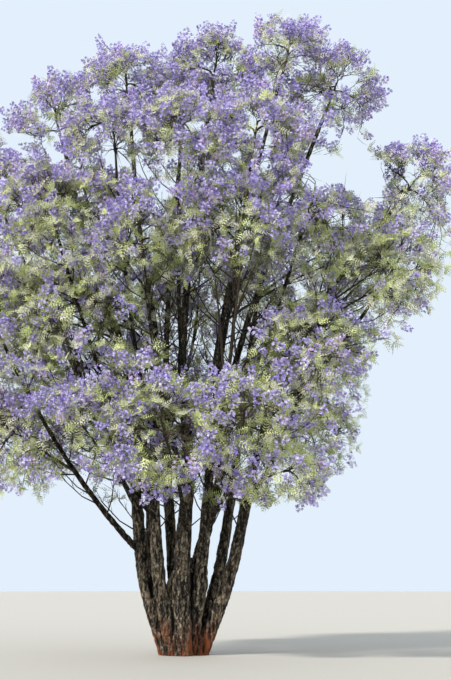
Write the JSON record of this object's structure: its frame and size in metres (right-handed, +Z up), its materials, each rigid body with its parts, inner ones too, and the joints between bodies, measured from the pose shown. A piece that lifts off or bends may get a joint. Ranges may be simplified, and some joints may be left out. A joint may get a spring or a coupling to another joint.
{
  "type": "jacaranda tree",
  "caption": "Multi-stemmed jacaranda in full flower: a fluted root crown, leaning stems, tapering boughs and open masses of lilac blossom and yellow-green leaf.",
  "frame": {"origin": "centre of the flat cut under the trunk, at ground level", "axes": "+Z up, -Y to the front as pictured, +X to the right"},
  "size_m": [10.9481, 8.1857, 13.4973],
  "materials": {
    "trunk_bark": "rough fissured grey-brown bark with pale lichen, reddened by soil at the foot",
    "bough_bark": "rough dark grey-brown bark",
    "blossom": "matt lilac-blue flowers in loose panicles",
    "leaf": "matt yellow-green feathery leaves"
  },
  "bodies": {
    "root": {"trunk": "trunk_bark", "stem_left": "trunk_bark", "stem_front_left": "trunk_bark", "stem_front": "trunk_bark", "stem_front_right": "trunk_bark", "stem_right": "trunk_bark", "stem_middle": "trunk_bark", "stem_back_right": "trunk_bark", "stem_back": "trunk_bark", "stem_back_left": "trunk_bark", "bough_left_low": "bough_bark", "bough_left_high": "bough_bark", "bough_left_front": "bough_bark", "bough_front_left_high": "bough_bark", "bough_front_left_low": "bough_bark", "bough_front_high": "bough_bark", "bough_front_low": "bough_bark", "bough_front_right_high": "bough_bark", "bough_front_right_low": "bough_bark", "bough_right_high": "bough_bark", "bough_right_low": "bough_bark", "bough_middle_right": "bough_bark", "bough_back_right_low": "bough_bark", "bough_back_mid": "bough_bark", "bough_back_low": "bough_bark", "bough_back_left_low": "bough_bark", "blossom_left": "blossom", "blossom_front_left": "blossom", "blossom_front": "blossom", "blossom_front_right": "blossom", "blossom_right": "blossom", "blossom_middle": "blossom", "blossom_back_right": "blossom", "blossom_back": "blossom", "blossom_back_left": "blossom", "leaves_left_low": "leaf", "blossom_left_high": "blossom", "blossom_left_front": "blossom", "blossom_front_left_high": "blossom", "blossom_front_left_low": "blossom", "blossom_front_high": "blossom", "blossom_front_low": "blossom", "blossom_front_right_high": "blossom", "blossom_front_right_low": "blossom", "leaves_right_high": "leaf", "blossom_right_low": "blossom", "blossom_middle_right": "blossom", "leaves_back_right_low": "leaf", "blossom_back_mid": "blossom", "leaves_back_low": "leaf", "leaves_back_left_low": "leaf", "blossom_left_drop": "blossom", "leaves_left_mid": "leaf", "blossom_front_mid": "blossom", "blossom_front_right_mid": "blossom", "blossom_front_right_drop": "blossom", "blossom_back_right_mid": "blossom", "leaves_back_left_drop": "leaf", "leaves_back_right_drop": "leaf"}
  },
  "joints": []
}
